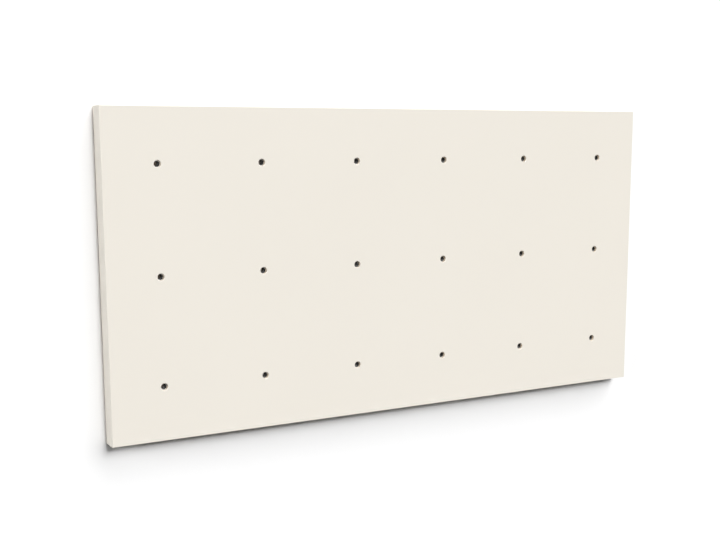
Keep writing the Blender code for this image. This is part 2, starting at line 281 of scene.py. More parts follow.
def add_socket(group, title, direction, value):
    kind = "NodeSocketFloat" if isinstance(value, float) else SOCKET_OF_SIZE[len(value)]
    return group.interface.new_socket(title, in_out=direction, socket_type=kind)


def new_group(name, inputs):
    """An empty group with first values for its inputs, its coordinates and what it is given."""
    group = bpy.data.node_groups.new(name, "ShaderNodeTree")
    for title, value in inputs.items():
        add_socket(group, title, "INPUT", value).default_value = value
    return group, put(group, "TexCoord").outputs, group.nodes.new("NodeGroupInput").outputs


def give_out(group, **results):
    """Make one output for each result, and link it."""
    for title, source in results.items():
        add_socket(group, title, "OUTPUT", source.default_value)
    end = group.nodes.new("NodeGroupOutput")
    for title, source in results.items():
        feed(end.inputs[title], source)
    print("node group", group.name, "with", len(group.nodes), "nodes")


# %% [markdown]
# The pressed cream laminate and its matching edge strips are cast against a matt plate, so their
# skin is a very fine even stipple, with no direction. Two noises make it: a tiny one for the height
# of the stipple, and a broad faint one for the clouding that any large pressed sheet has. A third,
# finer still, varies the gloss.

# %% Node group: matt skin
GRAINS_IN_STIPPLE = 4.0

matt_skin, place, given = new_group("matt_skin", {"Stipple size": 0.0012, "Cloud size": 0.25})
spot = place["Object"]
stipple = noise(spot, maths("DIVIDE", 1.0, given["Stipple size"]), detail=3.0, roughness=0.6)
cloud = noise(spot, maths("DIVIDE", 1.0, given["Cloud size"]), detail=3.0, roughness=0.55)
grain = noise(spot, maths("DIVIDE", GRAINS_IN_STIPPLE, given["Stipple size"]), detail=1.0)
give_out(matt_skin, Height=stipple, Cloud=cloud, Grain=grain)

# %% [markdown]
# Plywood is thin sheets of wood with their grain turned a quarter at each layer. From the front or
# the back one sees the long grain of one sheet. On a cut edge one sees the stack: pale stripes of
# long grain, darker stripes of end grain, and a dark line of glue between them. All of it follows
# from depth alone, so one solid pattern on Object coordinates suits the faces, the edges, the walls
# of the drilled holes and the floor of a rebate, which shows the layer that the cutter reached.

# %% Node group: plywood layers
plywood, place, given = new_group("plywood", {
    "Front": 0.0, "Layer": 0.0014, "Pale": (0.8, 0.6, 0.4, 1), "Dark": (0.6, 0.4, 0.2, 1),
    "Glue": (0.2, 0.1, 0.05, 1), "End grain": 0.35, "Offset": 0.0})
spot = split(place["Object"])
depth = maths("DIVIDE", maths("SUBTRACT", spot["Y"], given["Front"]), given["Layer"])
layer = maths("FLOOR", depth)
crosswise = maths("MODULO", maths("ABSOLUTE", layer), 2.0)
lengthwise = maths("SUBTRACT", 1.0, crosswise)


def by_layer(if_lengthwise, if_crosswise):
    """One value where a layer's fibres run along X, the other where they run along Z."""
    return maths("ADD", maths("MULTIPLY", if_lengthwise, lengthwise),
                 maths("MULTIPLY", if_crosswise, crosswise))


print(len(plywood.nodes), "nodes find the layer at each depth")

# %% [markdown]
# The grain pattern is a noise that is stretched along the fibres. Each layer reads the noise at its
# own far away place, so that no two look alike. The coordinates along and across the fibres swap
# from layer to layer. Each size below is a length along the fibres and two across them, in metres.

# %% Plywood: fibres and figure
FIBRE = (0.020, 0.0006, 0.0006)
PORE = (0.006, 0.00035, 0.00035)
FIGURE = (0.50, 0.012, 0.012)
WARP = (0.35, 0.06, 0.06)
WARP_DEPTH = 0.10
LAYER_STEP = 3.7
PORE_FROM, PORE_TO = 0.66, 0.74


def stretched_noise(vector, lengths, detail, roughness=0.5):
    """A noise in which each axis is counted in its own length."""
    scale = [1 / length for length in lengths]
    feeds = {0: vector, 1: scale}
    scaled = put(vector.id_data, "VectorMath", feeds, operation="MULTIPLY").outputs["Vector"]
    return noise(scaled, 1.0, detail, roughness)


along = maths("ADD", by_layer(spot["X"], spot["Z"]),
              maths("MULTIPLY_ADD", layer, LAYER_STEP, given["Offset"]))
across = by_layer(spot["Z"], spot["X"])
straight = put(plywood, "CombineXYZ", {"X": along, "Y": across, "Z": spot["Y"]}).outputs[0]
fibre = stretched_noise(straight, FIBRE, detail=3.0, roughness=0.6)
pores = remap(stretched_noise(straight, PORE, detail=1.0), PORE_FROM, PORE_TO)
warp = maths("MULTIPLY", stretched_noise(straight, WARP, detail=2.0), WARP_DEPTH)
bend = put(plywood, "CombineXYZ", {"Y": warp}).outputs[0]
bent = put(plywood, "VectorMath", {0: straight, 1: bend}, operation="ADD").outputs[0]
figure = stretched_noise(bent, FIGURE, detail=3.0, roughness=0.45)
print("fibres", FIBRE[0] / MM, "mm long and", FIBRE[1] / MM, "mm wide")

# %% [markdown]
# End grain drinks more light than long grain. It shows wherever the surface faces along the fibres,
# so the share of end grain is how far the surface normal lines up with them. The glue line is the
# narrow part of each layer's thickness nearest its boundary, and shows only on cut edges. All that
# darkens the wood is added up, each with its own weight, from a start well below nothing.

# %% Plywood: end grain, glue and the final colour
GLUE_FROM, GLUE_TO = 0.455, 0.475
LIGHTEST = -0.47
FIBRE_RELIEF = 0.6

facing = split(place["Normal"])
end_share = maths("ABSOLUTE", by_layer(facing["X"], facing["Z"]))
cut_share = maths("SUBTRACT", 1.0, maths("ABSOLUTE", facing["Y"]))
from_middle = maths("ABSOLUTE", maths("SUBTRACT", maths("FRACT", depth), 0.5))
glue_line = maths("MULTIPLY", remap(from_middle, GLUE_FROM, GLUE_TO), cut_share)
layer_tone = put(plywood, "TexWhiteNoise", {"W": layer}, noise_dimensions="1D").outputs["Value"]

darkness = LIGHTEST
for cause, weight in ((figure, 0.9), (fibre, 0.5), (pores, 0.35),
                      (end_share, given["End grain"]), (layer_tone, 0.25)):
    darkness = maths("MULTIPLY_ADD", cause, weight, darkness)
wood = blend(put(plywood, "Clamp", {"Value": darkness}).outputs[0], given["Pale"], given["Dark"])
wood = blend(glue_line, wood, given["Glue"])
relief = maths("SUBTRACT", maths("MULTIPLY", fibre, FIBRE_RELIEF), pores)
give_out(plywood, Colour=wood, Height=maths("SUBTRACT", relief, glue_line), Fibre=fibre)

# %% [markdown]
# All the metal here is plated or bare, and none of it is even. A group gives a fine streak or
# mottle, whose lengths along the three axes say which: long along X for a drawn aluminium bar,
# equal for plated steel. A second, larger noise gives the slow change of tone from handling.

# %% Node group: metal skin
metal_skin, place, given = new_group(
    "metal_skin", {"Lengths": (0.001, 0.001, 0.001), "Patch size": 0.01})
feeds = {0: place["Object"], 1: given["Lengths"]}
scaled = put(metal_skin, "VectorMath", feeds, operation="DIVIDE").outputs["Vector"]
streak = noise(scaled, 1.0, detail=3.0, roughness=0.6)
patch = noise(place["Object"], maths("DIVIDE", 1.0, given["Patch size"]), roughness=0.6)
give_out(metal_skin, Streak=streak, Patch=patch)

# %% [markdown]
# A panel on a wall gathers a little dust on every ledge behind it. Dust lies where a surface faces
# up, in patches, and is pale and matt. The group only gives the mask, and each finish decides how
# much its colour and roughness follow it.

# %% Node group: settled dust
DUST_FROM, DUST_TO = 0.5, 0.95
FLECKS_PER_METRE = 260.0
MIDDLE_OF_NOISE = (0.35, 0.65)

settled_dust, place, given = new_group("settled_dust", {"Amount": 0.3})
up_share = remap(split(place["Normal"])["Z"], DUST_FROM, DUST_TO)
flecks = noise(place["Object"], FLECKS_PER_METRE, detail=4.0, roughness=0.7)
flecks = remap(flecks, *MIDDLE_OF_NOISE)
amount = maths("MULTIPLY", maths("MULTIPLY", up_share, flecks), given["Amount"])
give_out(settled_dust, Dust=amount)

# %% [markdown]
# Each finish is a Principled shader fed by these groups. The shader itself stays in the material,
# and whatever is the same all over, such as how metallic it is, is set on its own socket. Dust lies
# over the colour of every finish.

# %% Helpers for finishes
DUST_COLOUR = (0.62, 0.60, 0.57, 1.0)
FINISHES = {}


def place_group(tree, group, values):
    """Place a shared group in a material with its own values."""
    return put(tree, "Group", values, node_tree=group).outputs


def new_finish(slot, dustiness, values):
    """A material for one slot of the record, and the dust on it."""
    FINISHES[slot] = new_material(slot, values)
    tree = FINISHES[slot].node_tree
    return tree, place_group(tree, settled_dust, {"Amount": dustiness})["Dust"]


def connect(slot, dust, colour, roughness, height, depth):
    """Feed the dusted colour, the roughness and a bump of a depth in metres to the shader."""
    tree = FINISHES[slot].node_tree
    inputs = tree.nodes["Principled BSDF"].inputs
    bump = put(tree, "Bump", {"Height": height, "Distance": depth, "Strength": 1.0})
    feed(inputs["Base Color"], blend(dust, colour, DUST_COLOUR))
    feed(inputs["Roughness"], roughness)
    feed(inputs["Normal"], bump.outputs["Normal"])
    print("finish", slot, "with", len(tree.nodes), "nodes")


# %% [markdown]
# The face sheet and the edge strips are the same cream, a linear value that was matched to the
# panel's front in full light. The strips are extruded plastic with the colour all through: a shade
# smoother, and with a coarser, shallower stipple.

# %% Finishes: cream face and cream edge
CREAM = (0.728, 0.691, 0.624, 1.0)
CREAM_DEEP = (0.723, 0.686, 0.619, 1.0)
CLOUD_SIZE = 0.30
GLOSS_SPREAD = 0.05
MOST_OF_NOISE = (0.3, 0.7)

for slot, stipple_size, skin_depth, roughness in (
        ("cream_laminate", 1.1 * MM, 0.004 * MM, 0.60),
        ("cream_edging", 1.8 * MM, 0.003 * MM, 0.58)):
    tree, dust = new_finish(slot, dustiness=0.25, values={"Specular IOR Level": 0.15})
    skin = place_group(tree, matt_skin, {"Stipple size": stipple_size, "Cloud size": CLOUD_SIZE})
    cream = blend(remap(skin["Cloud"], *MIDDLE_OF_NOISE), CREAM, CREAM_DEEP)
    rough = remap(skin["Grain"], *MOST_OF_NOISE,
                  roughness - GLOSS_SPREAD, roughness + GLOSS_SPREAD)
    connect(slot, dust, cream, rough, skin["Height"], skin_depth)

# %% [markdown]
# The face board is birch plywood, fine grained and pale, in thirteen thin layers, sanded and with
# a thin clear lacquer. The frame's strips are only sanded, and cut from a coarser grade, a little
# darker and with thicker layers. Both are matt, and dust clings to them.

# %% Finishes: birch board and frame
BOARD_TONES = {"Pale": (0.86, 0.765, 0.625, 1), "Dark": (0.70, 0.56, 0.40, 1),
               "Glue": (0.50, 0.36, 0.24, 1), "End grain": 0.15}
FRAME_TONES = {"Pale": (0.76, 0.61, 0.44, 1), "Dark": (0.52, 0.37, 0.225, 1),
               "Glue": (0.22, 0.13, 0.07, 1), "End grain": 0.40}
BOARD_LAYERS, FRAME_LAYERS = 13, 11
SANDED_DEPTH = 0.05 * MM
SANDED_ROUGHNESS = (0.62, 0.78)

for slot, node, layers, tones in (("birch_plywood", "face_board", BOARD_LAYERS, BOARD_TONES),
                                  ("frame_plywood", "left_stile", FRAME_LAYERS, FRAME_TONES)):
    box = outline_of(node)
    tree, dust = new_finish(slot, dustiness=0.45, values={"Specular IOR Level": 0.3})
    ply = place_group(tree, plywood, {
        "Front": box["front"], "Layer": (box["back"] - box["front"]) / layers,
        "Offset": float(layers), **tones})
    rough = remap(ply["Fibre"], *MOST_OF_NOISE, *SANDED_ROUGHNESS)
    connect(slot, dust, ply["Colour"], rough, ply["Height"], SANDED_DEPTH)

# %% [markdown]
# Three metals. The inserts are bright zinc, bluish and a little cloudy. The screws are zinc with a
# yellow passivation, which shimmers from straw to rose where its film is thinner. The hook rails
# are bare extruded aluminium, with fine die lines that run the whole length of the bar. An insert
# is tapped after it is plated, so its thread is bare steel with cutting oil. The faces that the tap
# touched carry a mark, an attribute named tapped, and the zinc finish is painted near
# black there. This is partly the oiled steel and partly painted shade, much darker than bare steel,
# for the dark deep inside the narrow bore.

# %% Finishes: zinc, yellow zinc and aluminium
METALS = {
    "zinc_plated_steel": {
        "bright": (0.74, 0.75, 0.76, 1), "dull": (0.54, 0.55, 0.56, 1), "roughness": (0.28, 0.48),
        "streaks": (1.2 * MM, 1.2 * MM, 1.2 * MM), "patches": 6 * MM, "depth": 0.010 * MM},
    "screw_steel": {
        "bright": (0.78, 0.58, 0.26, 1), "dull": (0.62, 0.46, 0.36, 1), "roughness": (0.22, 0.40),
        "streaks": (0.5 * MM, 0.5 * MM, 0.5 * MM), "patches": 3 * MM, "depth": 0.004 * MM},
    "hook_aluminium": {
        "bright": (0.80, 0.81, 0.82, 1), "dull": (0.62, 0.63, 0.645, 1), "roughness": (0.30, 0.46),
        "streaks": (0.4, 0.00022, 0.00022), "patches": 60 * MM, "depth": 0.012 * MM},
}
# Far darker than oiled steel really is: painted shade of the deep bore, together with the oil.
OILED_STEEL_AND_BORE_SHADE = (0.046, 0.045, 0.044, 1)
WEAR_FROM, WEAR_TO = 0.36, 0.64

for slot, metal in METALS.items():
    tree, dust = new_finish(slot, dustiness=0.30, values={"Metallic": 1.0})
    sizes = {"Lengths": metal["streaks"], "Patch size": metal["patches"]}
    skin = place_group(tree, metal_skin, sizes)
    wear = maths("MULTIPLY_ADD", skin["Streak"], 0.5, maths("MULTIPLY", skin["Patch"], 0.5))
    wear = remap(wear, WEAR_FROM, WEAR_TO)
    colour = blend(wear, metal["bright"], metal["dull"])
    if slot == "zinc_plated_steel":
        # The tapped faces are painted near black: oiled steel and painted shade of the deep bore.
        tapped = put(tree, "Attribute", attribute_name="tapped").outputs["Fac"]
        colour = blend(tapped, colour, OILED_STEEL_AND_BORE_SHADE)
    roughness = maths("MAXIMUM", remap(wear, 0.0, 1.0, *metal["roughness"]), dust)
    connect(slot, dust, colour, roughness, skin["Streak"], metal["depth"])

# %% [markdown]
# Modelling by hand is always the same three moves: select, act, look. An operator acts on all that
# is selected, so each helper first clears the selection. In edit mode faces and edges are chosen by
# where they are and which way they face, as one would click on them. A finished object stays at the
# origin, unturned and unscaled, with its place in its mesh, so that patterns don't slide.

# %% Helpers for the hands
from contextlib import contextmanager

TINY = 0.01 * MM
SQUARE = 0.9


def hold(*pieces):
    """Select these objects and no other. The first is the active one."""
    bpy.ops.object.select_all(action="DESELECT")
    for piece in pieces:
        piece.select_set(True)
    bpy.context.view_layer.objects.active = pieces[0]


@contextmanager
def editing(piece):
    """Edit mode on one object, and back again."""
    hold(piece)
    bpy.ops.object.mode_set(mode="EDIT")
    yield piece
    bpy.ops.object.mode_set(mode="OBJECT")


def settle(piece):
    """Name an object's mesh like it, and move its place, turn and size into the mesh."""
    piece.data.name = piece.name
    hold(piece)
    bpy.ops.object.transform_apply(location=True, rotation=True, scale=True)
    return piece


def pick(piece, kind, wanted):
    """In edit mode, select only the corners, edges or faces that pass a test."""
    bpy.ops.mesh.select_mode(type=kind)
    bpy.ops.mesh.select_all(action="DESELECT")
    shape = bmesh.from_edit_mesh(piece.data)
    for item in {"VERT": shape.verts, "EDGE": shape.edges, "FACE": shape.faces}[kind]:
        if wanted(item):
            item.select_set(True)
    bmesh.update_edit_mesh(piece.data)


def pick_faces(piece, wanted):
    """The test is given a face's middle and its normal."""
    pick(piece, "FACE", lambda face: wanted(face.calc_center_median(), face.normal))


def pick_edges(piece, wanted):
    """The test is given an edge's two ends."""
    pick(piece, "EDGE", lambda edge: wanted(edge.verts[0].co, edge.verts[1].co))


def pull(move):
    """In edit mode, extrude what is selected."""
    bpy.ops.mesh.extrude_region_move(TRANSFORM_OT_translate={"value": move})


def apply_modifier(piece, kind, **settings):
    modifier = piece.modifiers.new(kind.lower(), kind)
    for name, value in settings.items():
        setattr(modifier, name, value)
    hold(piece)
    bpy.ops.object.modifier_apply(modifier=modifier.name)


def remove(piece):
    bpy.data.objects.remove(piece, do_unlink=True)


def cut_with(piece, cutter, operation="DIFFERENCE"):
    """A Boolean with another object, which is used up."""
    apply_modifier(piece, "BOOLEAN", operation=operation, object=cutter, solver="EXACT")
    remove(cutter)


def copy_to(piece, name, move):
    """A copy with its own mesh, moved within it."""
    twin = piece.copy()
    twin.data = piece.data.copy()
    twin.name = twin.data.name = name
    twin.data.transform(Matrix.Translation(move))
    bpy.context.scene.collection.objects.link(twin)
    return twin


def join(name, pieces):
    hold(*pieces)
    bpy.ops.object.join()
    pieces[0].name = name
    return pieces[0]


print("places within", TINY / MM, "mm count as the same when edges are picked")

# %% [markdown]
# Each piece is finished in two moves. First its shading: corners that a Boolean left on top of one
# another are merged, round walls are smoothed, corners stay sharp, and large flats keep their own
# normals. Then it is dressed: it gets its finish, rides on its body, and its plain solid is hidden.

# %% Helpers for the finished piece
SHARP_FROM = 35
MERGED = TINY / 10
DRESSED = {}


def merge_close(piece):
    with editing(piece):
        bpy.ops.mesh.select_mode(type="VERT")
        bpy.ops.mesh.select_all(action="SELECT")
        bpy.ops.mesh.remove_doubles(threshold=MERGED)


def shade(piece):
    merge_close(piece)
    hold(piece)
    bpy.ops.object.shade_smooth_by_angle(angle=radians(SHARP_FROM))
    apply_modifier(piece, "WEIGHTED_NORMAL", keep_sharp=True)


def dress(piece, node):
    """Give a piece its finish, its body and the plain solid that it stands for."""
    piece.data.materials.clear()
    piece.data.materials.append(FINISHES[SLOT_OF[node]])
    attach(piece, BODY_OF[node])
    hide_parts(node)
    DRESSED[node] = piece
    print(piece.name, len(piece.data.polygons), "faces, for", node)


def dress_copies(piece, nodes):
    """Put a copy of a piece made on the origin's axis in the place of each node."""
    shade(piece)
    for node in nodes:
        dress(copy_to(piece, "fine_" + node, axis_of(node)), node)
    remove(piece)


print("corners within", round(MERGED / MM, 4), "mm merge, edges over", SHARP_FROM, "degrees stay")

# %% [markdown]
# A block, such as a strip of plywood, starts as a cube at its place and size. The plain solids keep
# 0.3 mm between pieces that are glued together. Here a named side may be pushed out over most of
# that, so that a glued joint closes to a hairline, as it does on the real panel.

# %% Blocks and glued sides
CLOSE = 0.26 * MM
OUTWARD = {"left": -1, "right": 1, "front": -1, "back": 1, "bottom": -1, "top": 1}


def glued(node, *sides):
    """A plain solid's outline with these sides pushed out."""
    box = outline_of(node)
    for side in sides:
        box[side] += CLOSE * OUTWARD[side]
    return box


def add_block(name, left, right, front, back, bottom, top):
    middle = ((left + right) / 2, (front + back) / 2, (bottom + top) / 2)
    return settle(add(name, bpy.ops.mesh.primitive_cube_add, size=1, location=middle,
                      scale=(right - left, back - front, top - bottom)))


print("a glued side moves out by", CLOSE / MM, "mm")

# %% [markdown]
# Round tools and round parts are turned, as on a lathe. A thin cone between the first two rings is
# the start. Its back face is then pulled out from ring to ring, and scaled at each one. Rings are
# listed from the front to the back, as a place along Y and a radius. A tool is made on the origin's
# axis, and runs a little past what it cuts. Copies of it then do all the holes at once.

# %% Turned shapes and drills
PAST = 1.0 * MM


def add_rod(name, radius, front, back, sides=64, back_radius=None):
    """A cylinder or cone along Y, from a front plane to a back plane."""
    return settle(add(
        name, bpy.ops.mesh.primitive_cone_add, vertices=sides, radius1=radius,
        radius2=back_radius or radius, depth=back - front,
        location=(0, (front + back) / 2, 0), rotation=(-pi / 2, 0, 0)))


def add_turned(name, rings, sides=64):
    (front, first_radius), (back, next_radius) = rings[:2]
    piece = add_rod(name, first_radius, front, back, sides, next_radius)
    with editing(piece):
        pick_faces(piece, lambda middle, normal: normal.y > SQUARE and middle.y > back - TINY)
        for (last_y, last_radius), (y, radius) in zip(rings[1:], rings[2:]):
            pull((0, y - last_y, 0))
            scale = radius / last_radius
            bpy.ops.transform.resize(value=(scale, 1, scale), center_override=(0, y, 0))
    return piece


def add_drills(drill, places):
    """Copies of one drill at all these places, joined."""
    copies = [copy_to(drill, drill.name + "s", place) for place in places]
    remove(drill)
    return join("drills", copies)


print("a tool runs", PAST / MM, "mm past what it cuts")

# %% [markdown]
# The bolt holes are drilled through the face sheet and the board in one pass, and a 45 degree bit
# then opens the mouth through the thickness of the sheet. The mouth's rim is broken with a touch
# of sandpaper, so its last ring is shallower. One drill is turned and repeated on the 18 axes.

# %% The hold drill
AXES = [axis_of(node) for node in T_NUTS]
HOLE_RADIUS = 6.3 * MM
SHEET = outline_of("face_laminate")
BOARD = outline_of("face_board")
MOUTH_RADIUS = HOLE_RADIUS + SHEET["back"] - SHEET["front"]
RIM = 0.05 * MM

hold_drills = add_drills(add_turned("hold_drill", [
    (SHEET["front"] - RIM, MOUTH_RADIUS + 3 * RIM),
    (SHEET["front"] + RIM, MOUTH_RADIUS - RIM),
    (SHEET["back"], HOLE_RADIUS),
    (BOARD["front"] + PAST, HOLE_RADIUS)]), AXES)
print("holes of", 2 * HOLE_RADIUS / MM, "mm, mouths of", round(2 * MOUTH_RADIUS / MM, 2), "mm")

# %% [markdown]
# The face is one pressed laminate sheet, 0.8 mm thick, that lies over the board and over the front
# edges of the strips. Its outer edge is trimmed with a small round bit, which is what catches the
# light along the near edge. So the block's four front edges are bevelled before it is drilled.

# %% Face sheet
SHEET_ROUND = 0.4 * MM
ROUND_STEPS = 3

face_sheet = add_block("fine_face_laminate", **glued("face_laminate", "back"))
with editing(face_sheet):
    pick_edges(face_sheet, lambda a, b: max(a.y, b.y) < SHEET["front"] + TINY)
    bpy.ops.mesh.bevel(offset=SHEET_ROUND, segments=ROUND_STEPS)
cut_with(face_sheet, hold_drills)
shade(face_sheet)
dress(face_sheet, "face_laminate")

# %% [markdown]
# The board behind it is birch plywood. Seen through a hole, its cut layers are the warm brown wall.
# From behind, each hole also has four narrow slots, which the prongs of the insert cut when it is
# pulled in, and a blind hole for each frame screw. The slots are small wedges beside the drill,
# each turned to its place round the drill's axis.

# %% Prong wedges
FLANGE_FRONT = outline_of("left_stile")["front"]
FLANGE_BACK = outline_of(T_NUTS[0])["back"]
PRONG_RADIUS, PRONG_LENGTH = 9.2 * MM, 7.0 * MM
PRONG_THICKNESS, PRONG_ROOT, PRONG_TIP = 1.4 * MM, 4.0 * MM, 1.4 * MM
PRONG_TURNS = [radians(45 + 90 * step) for step in range(4)]
SLOT_FIT = 0.05 * MM


def add_prong(name, turn, grow=0.0):
    """A blade beside the barrel: a block whose tip is narrowed, then turned round the Y axis."""
    half_thick, half_wide = PRONG_THICKNESS / 2 + grow, PRONG_ROOT / 2 + grow
    tip_y = FLANGE_FRONT - PRONG_LENGTH - grow
    prong = add_block(name, PRONG_RADIUS - half_thick, PRONG_RADIUS + half_thick,
                      tip_y, (FLANGE_FRONT + FLANGE_BACK) / 2, -half_wide, half_wide)
    with editing(prong):
        pick_faces(prong, lambda middle, normal: normal.y < -SQUARE)
        narrowing = (PRONG_TIP / 2 + grow) / half_wide
        bpy.ops.transform.resize(value=(1, 1, narrowing), center_override=(PRONG_RADIUS, tip_y, 0))
    prong.data.transform(Matrix.Rotation(turn, 4, "Y"))
    return prong


print(len(PRONG_TURNS), "prongs, the first turned", round(PRONG_TURNS[0], 3), "radians")

# %% [markdown]
# A screw hole is cut for its screw, a hair wider: the point, the shank, and the cone for the head.
# The same tool serves the board, the frame and the hooks, so each piece's hole is exactly in line
# with the next one's. The screws' places and lengths are read from the plain solids.

# %% Screw drills
SCREW_RADIUS, HEAD_RADIUS, HEAD_DEPTH = 2.0 * MM, 4.0 * MM, 2.2 * MM
SCREW_POINT, POINT_RADIUS = 5.0 * MM, 0.05 * MM
SCREW_FIT = 0.06 * MM
FRAME_SCREWS = sorted(node for node in frame["nodes"] if node.startswith("frame_screw"))
HOOK_SCREWS = sorted(node for node in frame["nodes"] if node.startswith("hook_screw"))


def add_screw_drills(screws):
    """Holes for all the screws of one kind."""
    box = outline_of(screws[0])
    shank, head = SCREW_RADIUS + SCREW_FIT, HEAD_RADIUS + SCREW_FIT
    drill = add_turned("screw_drill", [
        (box["front"] - SCREW_FIT, POINT_RADIUS), (box["front"] + SCREW_POINT, shank),
        (box["back"] - HEAD_DEPTH, shank), (box["back"], head), (box["back"] + PAST, head)],
        sides=32)
    return add_drills(drill, map(axis_of, screws))


print(len(FRAME_SCREWS), "frame screws and", len(HOOK_SCREWS), "hook screws")

# %% [markdown]
# The board's own edges are sawn square and hidden by the strips, so it needs no bevel. Everything
# about it is in its holes and its layers, and the layers come from the finish.

# %% Face board
board = add_block("fine_face_board", **glued("face_board", "left", "right", "bottom", "top"))
bore = add_rod("board_bore", HOLE_RADIUS, BOARD["front"] - PAST, BOARD["back"] + PAST)
slots = [add_prong("prong_slot", turn, SLOT_FIT) for turn in PRONG_TURNS]
cut_with(board, add_drills(join("board_drill", [bore, *slots]), AXES))
cut_with(board, add_screw_drills(FRAME_SCREWS))
shade(board)
dress(board, "face_board")

# %% [markdown]
# Four cream strips cover the board's and the frame's edges and give the panel its full depth. The
# top and bottom strips run right across, and the side ones stand between them. They are trimmed
# after gluing, with their back corner slightly rounded, so a bevel on the outer back edges is
# enough. The edge that meets the face sheet stays sharp, as it does where two sheets are glued.

# %% Edge strips
STRIP_ROUND = 0.35 * MM


def on_outside(point):
    """Whether a point lies on the panel's outline."""
    return (point.x < SHEET["left"] + TINY or point.x > SHEET["right"] - TINY
            or point.z < SHEET["bottom"] + TINY or point.z > SHEET["top"] - TINY)


for node, glued_ends in (("top_edge_band", []), ("bottom_edge_band", []),
                         ("left_edge_band", ["top", "bottom"]),
                         ("right_edge_band", ["top", "bottom"])):
    box = glued(node, *glued_ends)
    strip = add_block("fine_" + node, **box)
    with editing(strip):
        pick_edges(strip, lambda a, b: (on_outside(a) and on_outside(b)
                                        and min(a.y, b.y) > box["back"] - TINY))
        bpy.ops.mesh.bevel(offset=STRIP_ROUND, segments=ROUND_STEPS)
    shade(strip)
    dress(strip, node)

# %% [markdown]
# The frame is six strips of 18 mm birch plywood, glued and screwed to the back of the board. The
# saw leaves crisp edges, which are broken a little with sandpaper so that they don't splinter: one
# bevel with a single step. Where strips butt, the eased edges leave the fine line one sees there.

# %% Frame strips
EASED = 0.30 * MM
EASE_FROM = 40


def ease(piece, width=EASED, steps=1):
    """Bevel every edge between faces at a sharp angle."""
    apply_modifier(piece, "BEVEL", width=width, segments=steps, limit_method="ANGLE",
                   angle_limit=radians(EASE_FROM))


for node, outer_side in (("left_stile", ["left"]), ("mid_stile_left", []),
                         ("mid_stile_right", []), ("right_stile", ["right"])):
    stile = add_block("fine_" + node, **glued(node, "front", "bottom", "top", *outer_side))
    ease(stile)
    cut_with(stile, add_screw_drills(FRAME_SCREWS))
    shade(stile)
    dress(stile, node)

# %% [markdown]
# The top and bottom rails are wider, and each has a long rebate routed into its back, which takes
# the hooks so that the panel hangs close to the wall. By hand this is quicker to build up than to
# cut: start with a slab that is only as thick as the wood left behind the rebate, slice it along
# the two lines of the rebate, and pull the two outer strips of its back out to the full depth.

# %% Rails with their rebate
BACKWARD, UPWARD = Vector((0, 1, 0)), Vector((0, 0, 1))
LIP_HEIGHT = 12.0 * MM
BEHIND_PLATE = 0.05 * MM
REBATE_FLOOR = outline_of("upper_panel_hook")["front"] - BEHIND_PLATE
REBATE_ABOVE, REBATE_BELOW = 35.8 * MM, 16.5 * MM
FRAME_BACK = outline_of("top_rail")["back"]


def slice_at(place, direction):
    """In edit mode, cut a line through every face across a direction, and keep both sides."""
    bpy.ops.mesh.select_all(action="SELECT")
    bpy.ops.mesh.bisect(plane_co=place * direction, plane_no=direction)


def pull_out(piece, wanted, move):
    """In edit mode, extrude the wanted faces by a move."""
    pick_faces(piece, wanted)
    pull(move)


for node, outer_side, hook in (("top_rail", "top", "upper_wall_hook"),
                               ("bottom_rail", "bottom", "lower_wall_hook")):
    shelf = outline_of(hook)["top"] - LIP_HEIGHT
    low, high = shelf - REBATE_BELOW, shelf + REBATE_ABOVE
    box = glued(node, "front", "left", "right", outer_side)
    rail = add_block("fine_" + node, **dict(box, back=REBATE_FLOOR))
    with editing(rail):
        slice_at(low, UPWARD)
        slice_at(high, UPWARD)
        pull_out(rail, lambda middle, normal: normal.y > SQUARE and not low < middle.z < high,
                 (FRAME_BACK - REBATE_FLOOR) * BACKWARD)
    ease(rail)
    cut_with(rail, add_screw_drills(FRAME_SCREWS))
    cut_with(rail, add_screw_drills(HOOK_SCREWS))
    shade(rail)
    dress(rail, node)

# %% [markdown]
# The hook rails are aluminium extrusions, 3 mm thick all over. The wall's one is a plate with a
# step forward and a lip that stands up. The panel's one is a plate with a step back and a lip that
# hangs down behind it. Both grow from their plate in two pulls, and the extrusion's small corner
# radii are a bevel modifier on every edge. The wall's ones have countersunk holes for its screws.

# %% Hook rails
PLATE = 3.0 * MM
CORNER = 0.35 * MM
LEVELS = ("upper", "lower")
WALL_HOLE, WALL_HOLE_MOUTH = 3.25 * MM, 5.5 * MM
WALL_HOLE_X = (-0.5, -0.3, -0.1, 0.1, 0.3, 0.5)
WALL_HOLE_UP = 12.0 * MM


def add_wall_drills(height):
    """One row of countersunk holes through a wall hook's plate."""
    cone = WALL_HOLE_MOUTH - WALL_HOLE
    drill = add_turned("wall_drill", [
        (-PLATE - PAST, WALL_HOLE_MOUTH + 0.3 * MM), (-PLATE, WALL_HOLE_MOUTH),
        (cone - PLATE, WALL_HOLE), (PAST, WALL_HOLE)], sides=48)
    return add_drills(drill, [Vector((x, 0, height)) for x in WALL_HOLE_X])


def finish_hook(hook, node, drills):
    """Round the corners, drill for the screws, and dress the hook."""
    ease(hook, CORNER, ROUND_STEPS)
    cut_with(hook, drills)
    shade(hook)
    dress(hook, node)


print("hooks of", PLATE / MM, "mm with lips of", LIP_HEIGHT / MM, "mm")

# %% [markdown]
# The wall hook first. Its plate is a block against the wall. The top 3 mm of its front face is
# pulled forward into the step, and the front part of the step's upper face is pulled up into the
# lip. Each slice marks out the face for the next pull.

